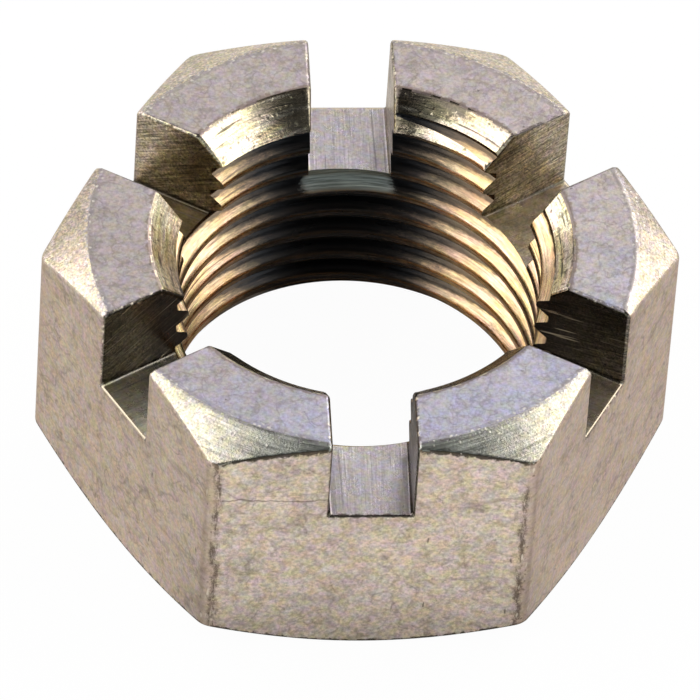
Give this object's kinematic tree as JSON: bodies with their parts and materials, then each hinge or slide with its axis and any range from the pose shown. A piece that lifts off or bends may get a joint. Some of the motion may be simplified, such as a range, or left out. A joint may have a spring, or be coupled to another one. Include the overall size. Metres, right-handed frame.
{
  "type": "slotted hexagon nut",
  "caption": "Slotted hexagon castle nut with chamfered corners, a countersunk threaded bore and square split-pin slots through the middle of each flat.",
  "frame": {"origin": "centre of the bearing face, on the bore's axis, at the nut's underside", "axes": "+Z along the bore's axis towards the slotted end; two flats with slots face -Y and +Y, and two corners point along -X and +X"},
  "size_m": [0.0366, 0.0318, 0.0167],
  "materials": {
    "plated_steel": "zinc-plated, dulled and lightly scratched"
  },
  "bodies": {
    "root": {"castle_nut": "plated_steel"}
  },
  "joints": []
}
